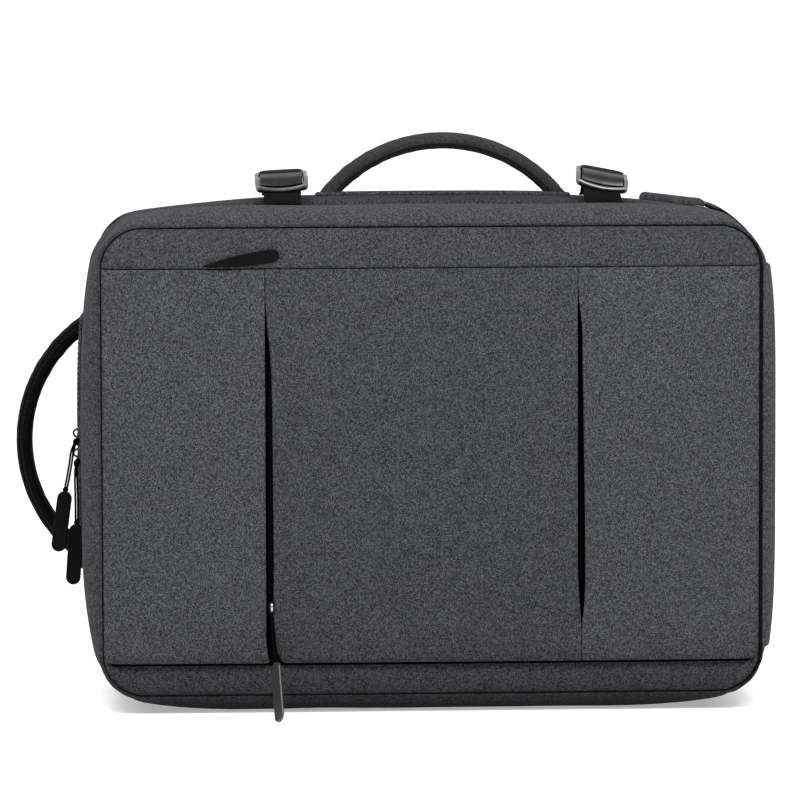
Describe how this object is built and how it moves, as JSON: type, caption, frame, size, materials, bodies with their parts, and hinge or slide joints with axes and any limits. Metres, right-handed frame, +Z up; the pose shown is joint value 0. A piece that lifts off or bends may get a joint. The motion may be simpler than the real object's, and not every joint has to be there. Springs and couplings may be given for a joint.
{
  "type": "travel backpack",
  "caption": "Soft-sided travel backpack that opens round a main zip and is carried by a top handle, a side handle or padded shoulder straps.",
  "frame": {"origin": "on the floor under the middle of the bag's width and depth, on the flat face that the bag rests on", "axes": "+X to the right of the front, along the bag's length; +Y from the front panel to the back; +Z up"},
  "size_m": [0.5087, 0.2256, 0.3809],
  "materials": {
    "heather_cloth": "charcoal heather plain weave, matte",
    "handle_cloth": "black-grey woven cloth over padding, matte",
    "spacer_mesh": "dark padded spacer mesh, matte",
    "webbing": "black woven webbing, slight sheen",
    "piping": "black bound piping, matte",
    "zip_tape": "black coil zip on woven tape",
    "pull_cord": "black braided cord",
    "pull_rubber": "black moulded rubber, satin",
    "moulded_plastic": "black moulded plastic, satin",
    "buckle_metal": "grey die-cast metal, satin",
    "slider_metal": "gunmetal, semi-gloss"
  },
  "bodies": {
    "root": {"front_shell": "heather_cloth", "rear_shell": "heather_cloth", "base_panel": "heather_cloth", "main_zip": "zip_tape", "front_piping": "piping", "back_piping": "piping", "top_band": "heather_cloth", "bottom_band": "heather_cloth", "pocket_flap": "heather_cloth", "front_panel": "heather_cloth", "back_panel": "spacer_mesh", "pocket_zip": "zip_tape", "top_handle_base": "heather_cloth", "top_handle": "handle_cloth", "side_handle_base": "heather_cloth", "side_handle": "handle_cloth", "compression_strap_left": "webbing", "compression_strap_right": "webbing", "buckle_left": "buckle_metal", "buckle_right": "buckle_metal", "main_slider_upper": "slider_metal", "main_slider_lower": "slider_metal", "pocket_slider": "slider_metal", "pull_cord_upper": "pull_cord", "pull_cord_lower": "pull_cord", "pull_cord_front": "pull_cord", "pull_pad_upper": "pull_rubber", "pull_pad_lower": "pull_rubber", "pull_pad_front": "pull_rubber", "top_pull": "pull_rubber", "shoulder_strap_upper": "spacer_mesh", "shoulder_strap_lower": "spacer_mesh", "strap_adjuster_upper": "moulded_plastic", "strap_adjuster_lower": "moulded_plastic", "strap_webbing_upper": "webbing", "strap_webbing_lower": "webbing", "anchor_tab": "heather_cloth", "anchor_ring": "moulded_plastic", "anchor_webbing": "webbing"}
  },
  "joints": []
}
